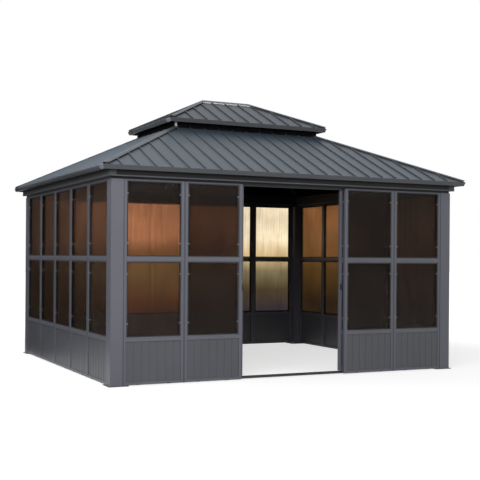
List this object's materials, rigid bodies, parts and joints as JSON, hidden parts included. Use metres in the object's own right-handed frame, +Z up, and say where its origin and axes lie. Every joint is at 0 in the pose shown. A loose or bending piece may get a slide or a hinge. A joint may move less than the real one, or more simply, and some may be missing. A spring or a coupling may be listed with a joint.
{
  "type": "hardtop sunroom gazebo",
  "caption": "Glazed metal gazebo: tinted panel walls on ribbed kick panels, sliding double door, two-tier standing-seam hip roof.",
  "frame": {"origin": "on the ground under the middle of the roof", "axes": "+Z up, +X along the front wall to the right seen from outside, -Y out of the doorway"},
  "size_m": [4.27, 3.6542, 3.117],
  "materials": {
    "frame_coat": "satin charcoal powder coat",
    "roof_sheet": "satin charcoal coated steel sheet",
    "corner_caps": "pale grey coated sheet",
    "tinted_glazing": "brown tinted twin-wall polycarbonate",
    "track_metal": "dark coated track",
    "bright_closure": "bare mill-finish strip",
    "handle_plastic": "black moulded pull",
    "glide_nylon": "dark nylon"
  },
  "bodies": {
    "gazebo": {"back_glazing": "tinted_glazing", "back_kick_panels": "frame_coat", "back_panel_frames": "frame_coat", "foot_plates": "frame_coat", "front_bottom_track": "track_metal", "front_glazing": "tinted_glazing", "front_kick_panels": "frame_coat", "front_panel_frames": "frame_coat", "front_top_track": "track_metal", "header_back": "frame_coat", "header_corner_covers": "corner_caps", "header_front": "frame_coat", "header_left": "frame_coat", "header_right": "frame_coat", "hip_closures": "frame_coat", "left_glazing": "tinted_glazing", "left_kick_panels": "frame_coat", "left_panel_frames": "frame_coat", "lower_eave_trims": "roof_sheet", "lower_hip_caps": "roof_sheet", "lower_rafters": "frame_coat", "lower_roof_back": "roof_sheet", "lower_roof_front": "roof_sheet", "lower_roof_left": "roof_sheet", "lower_roof_right": "roof_sheet", "post_back_left": "frame_coat", "post_back_right": "frame_coat", "post_front_left": "frame_coat", "post_front_right": "frame_coat", "ridge_cap": "roof_sheet", "ridge_closures": "bright_closure", "right_glazing": "tinted_glazing", "right_kick_panels": "frame_coat", "right_panel_frames": "frame_coat", "roof_corner_caps": "corner_caps", "upper_eave_trims": "roof_sheet", "upper_hip_caps": "roof_sheet", "upper_rafters": "frame_coat", "upper_roof_back": "roof_sheet", "upper_roof_front": "roof_sheet", "upper_roof_left": "roof_sheet", "upper_roof_right": "roof_sheet", "upper_roof_ring": "frame_coat", "vent_curb": "frame_coat", "vent_posts": "frame_coat"},
    "left_leaf": {"left_leaf_frame": "frame_coat", "left_leaf_glazing": "tinted_glazing", "left_leaf_glides": "glide_nylon", "left_leaf_handle": "handle_plastic", "left_leaf_kick_panel": "frame_coat"},
    "right_leaf": {"right_leaf_frame": "frame_coat", "right_leaf_glazing": "tinted_glazing", "right_leaf_glides": "glide_nylon", "right_leaf_handle": "handle_plastic", "right_leaf_kick_panel": "frame_coat"}
  },
  "joints": [
    {"name": "left_leaf_slide", "type": "slide", "parent": "gazebo", "child": "left_leaf", "axis": [1, 0, 0], "range_m": [0, 0.576]},
    {"name": "right_leaf_slide", "type": "slide", "parent": "gazebo", "child": "right_leaf", "axis": [-1, 0, 0], "range_m": [0, 0.576]}
  ]
}
